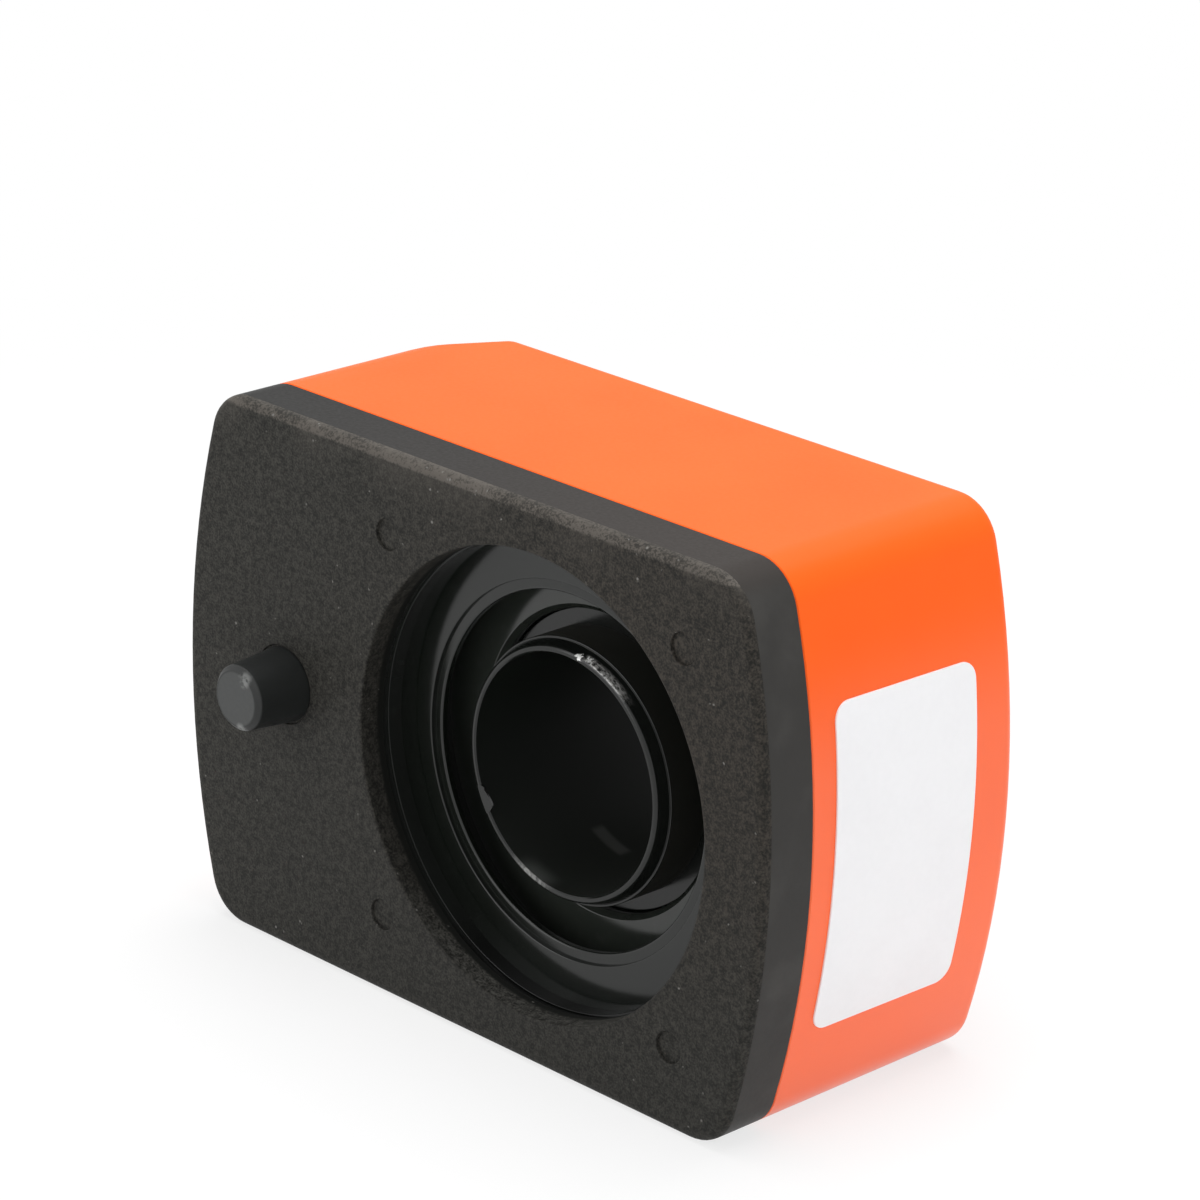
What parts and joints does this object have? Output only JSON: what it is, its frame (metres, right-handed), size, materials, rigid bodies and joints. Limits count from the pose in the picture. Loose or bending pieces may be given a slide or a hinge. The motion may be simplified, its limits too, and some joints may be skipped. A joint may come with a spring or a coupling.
{
  "type": "mechanical position indicator",
  "caption": "Boxy position indicator with a hollow through shaft and a locating pin on its recessed rear plate, and digit wheels behind a slanted window.",
  "frame": {"origin": "on the shaft axis, where the straight bore begins behind its rear chamfer", "axes": "+X along the body towards the label end, +Y along the shaft from the rear plate to the front collar, +Z across the body; the part rests on its long flat side"},
  "size_m": [0.0669, 0.0423, 0.047],
  "materials": {
    "orange_housing": "satin moulded orange plastic",
    "textured_black": "coarse spark-eroded texture, dull black",
    "smooth_black": "smooth black",
    "black_steel": "black oxide over turned steel",
    "bright_steel": "bright rolled or drawn steel",
    "gear_plastic": "natural ivory plastic",
    "wheel_black": "black plastic with pale printed digits",
    "clear_lens": "clear plastic",
    "white_label": "bare white film"
  },
  "bodies": {
    "root": {"housing": "orange_housing", "base_plate": "textured_black", "window_lens": "clear_lens", "end_label": "white_label", "rear_bush": "smooth_black", "front_bush": "smooth_black", "counter_frame": "bright_steel", "wheel_axle": "bright_steel", "transfer_axle": "bright_steel"},
    "shaft": {"hollow_shaft": "black_steel", "drive_gear": "gear_plastic", "retaining_ring": "bright_steel", "set_screw": "black_steel"},
    "lay": {"layshaft": "bright_steel", "helical_pinion": "gear_plastic", "lay_gear": "gear_plastic"},
    "wheel_1": {"digit_wheel_1": "wheel_black"},
    "wheel_2": {"digit_wheel_2": "wheel_black"},
    "wheel_3": {"digit_wheel_3": "wheel_black"},
    "wheel_4": {"digit_wheel_4": "wheel_black"},
    "wheel_5": {"digit_wheel_5": "wheel_black"},
    "carry_1": {"transfer_pinion_1": "gear_plastic"},
    "carry_2": {"transfer_pinion_2": "gear_plastic"},
    "carry_3": {"transfer_pinion_3": "gear_plastic"},
    "carry_4": {"transfer_pinion_4": "gear_plastic"}
  },
  "joints": [
    {"name": "shaft_spin", "type": "hinge", "parent": "root", "child": "shaft", "pos_m": [0, 0, 0], "axis": [0, 1, 0], "continuous": true},
    {"name": "lay_spin", "type": "hinge", "parent": "root", "child": "lay", "pos_m": [-0.01804, 0.01531, 0], "axis": [0, 0, 1], "continuous": true},
    {"name": "wheel_1_spin", "type": "hinge", "parent": "root", "child": "wheel_1", "pos_m": [-0.02787, 0.01105, 0], "axis": [0, 0, 1], "continuous": true},
    {"name": "wheel_2_spin", "type": "hinge", "parent": "root", "child": "wheel_2", "pos_m": [-0.02787, 0.01105, 0], "axis": [0, 0, 1], "continuous": true},
    {"name": "wheel_3_spin", "type": "hinge", "parent": "root", "child": "wheel_3", "pos_m": [-0.02787, 0.01105, 0], "axis": [0, 0, 1], "continuous": true},
    {"name": "wheel_4_spin", "type": "hinge", "parent": "root", "child": "wheel_4", "pos_m": [-0.02787, 0.01105, 0], "axis": [0, 0, 1], "continuous": true},
    {"name": "wheel_5_spin", "type": "hinge", "parent": "root", "child": "wheel_5", "pos_m": [-0.02787, 0.01105, 0], "axis": [0, 0, 1], "continuous": true},
    {"name": "carry_1_spin", "type": "hinge", "parent": "root", "child": "carry_1", "pos_m": [-0.0266, 0.01821, 0], "axis": [0, 0, 1], "continuous": true},
    {"name": "carry_2_spin", "type": "hinge", "parent": "root", "child": "carry_2", "pos_m": [-0.0266, 0.01821, 0], "axis": [0, 0, 1], "continuous": true},
    {"name": "carry_3_spin", "type": "hinge", "parent": "root", "child": "carry_3", "pos_m": [-0.0266, 0.01821, 0], "axis": [0, 0, 1], "continuous": true},
    {"name": "carry_4_spin", "type": "hinge", "parent": "root", "child": "carry_4", "pos_m": [-0.0266, 0.01821, 0], "axis": [0, 0, 1], "continuous": true}
  ],
  "couplings": [
    {"joint": "lay_spin", "follows": "shaft_spin", "ratio": -4.5},
    {"joint": "wheel_1_spin", "follows": "shaft_spin", "ratio": 2.5},
    {"joint": "wheel_2_spin", "follows": "shaft_spin", "ratio": 0.25},
    {"joint": "wheel_3_spin", "follows": "shaft_spin", "ratio": 0.025},
    {"joint": "wheel_4_spin", "follows": "shaft_spin", "ratio": 0.0025},
    {"joint": "wheel_5_spin", "follows": "shaft_spin", "ratio": 0.00025},
    {"joint": "carry_1_spin", "follows": "shaft_spin", "ratio": -0.625},
    {"joint": "carry_2_spin", "follows": "shaft_spin", "ratio": -0.0625},
    {"joint": "carry_3_spin", "follows": "shaft_spin", "ratio": -0.00625},
    {"joint": "carry_4_spin", "follows": "shaft_spin", "ratio": -0.000625}
  ]
}
